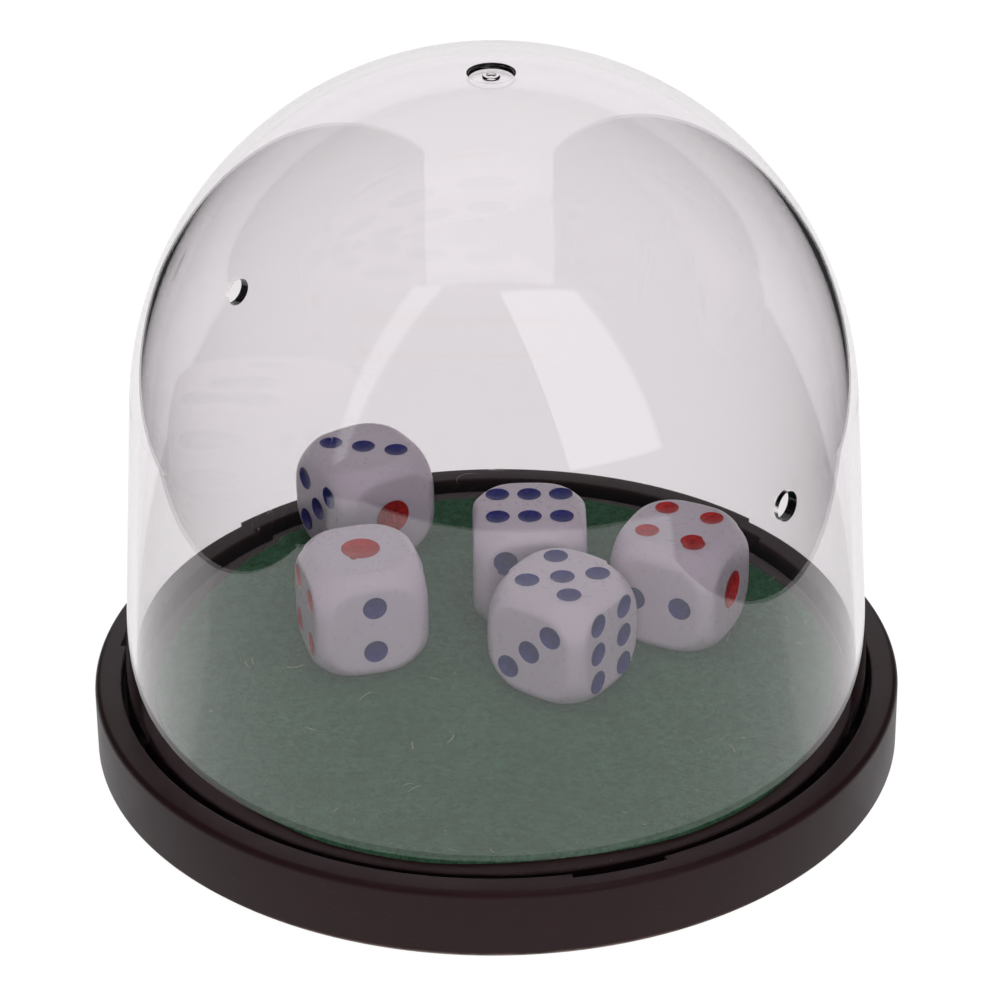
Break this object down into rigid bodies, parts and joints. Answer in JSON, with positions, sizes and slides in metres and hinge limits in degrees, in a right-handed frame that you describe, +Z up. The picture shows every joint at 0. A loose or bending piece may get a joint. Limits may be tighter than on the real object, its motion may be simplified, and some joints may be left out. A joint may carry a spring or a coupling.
{
  "type": "dice cup",
  "caption": "Dice cup: a clear dome seats on a felt-topped round tray with bayonet lugs and holds loose dice.",
  "frame": {"origin": "centre of the tray's underside, on the surface that the cup stands on", "axes": "+Z up along the dome's axis, the picture is seen along +Y with +X to the right"},
  "size_m": [0.0964, 0.0964, 0.086],
  "materials": {
    "plum_plastic": "semi-gloss moulded",
    "green_felt": "flocked felt",
    "clear_plastic": "clear, polished",
    "ivory_plastic": "polished",
    "blue_paint": "painted",
    "red_paint": "painted"
  },
  "bodies": {
    "tray": {"base_tray": "plum_plastic", "felt_disc": "green_felt"},
    "dome": {"dome": "clear_plastic"},
    "die_front": {"die_front": "ivory_plastic", "die_front_blue_pips": "blue_paint", "die_front_red_pips": "red_paint"},
    "die_left": {"die_left": "ivory_plastic", "die_left_blue_pips": "blue_paint", "die_left_red_pips": "red_paint"},
    "die_back": {"die_back": "ivory_plastic", "die_back_blue_pips": "blue_paint", "die_back_red_pips": "red_paint"},
    "die_middle": {"die_middle": "ivory_plastic", "die_middle_blue_pips": "blue_paint", "die_middle_red_pips": "red_paint"},
    "die_right": {"die_right": "ivory_plastic", "die_right_blue_pips": "blue_paint", "die_right_red_pips": "red_paint"}
  },
  "joints": [
    {"name": "dome_lift", "type": "slide", "parent": "tray", "child": "dome", "axis": [0, 0, 1], "range_m": [0, 0.1]},
    {"name": "die_front_hop", "type": "slide", "parent": "tray", "child": "die_front", "axis": [0, 0, 1], "range_m": [0, 0.012]},
    {"name": "die_left_hop", "type": "slide", "parent": "tray", "child": "die_left", "axis": [0, 0, 1], "range_m": [0, 0.012]},
    {"name": "die_back_hop", "type": "slide", "parent": "tray", "child": "die_back", "axis": [0, 0, 1], "range_m": [0, 0.012]},
    {"name": "die_middle_hop", "type": "slide", "parent": "tray", "child": "die_middle", "axis": [0, 0, 1], "range_m": [0, 0.012]},
    {"name": "die_right_hop", "type": "slide", "parent": "tray", "child": "die_right", "axis": [0, 0, 1], "range_m": [0, 0.012]}
  ]
}
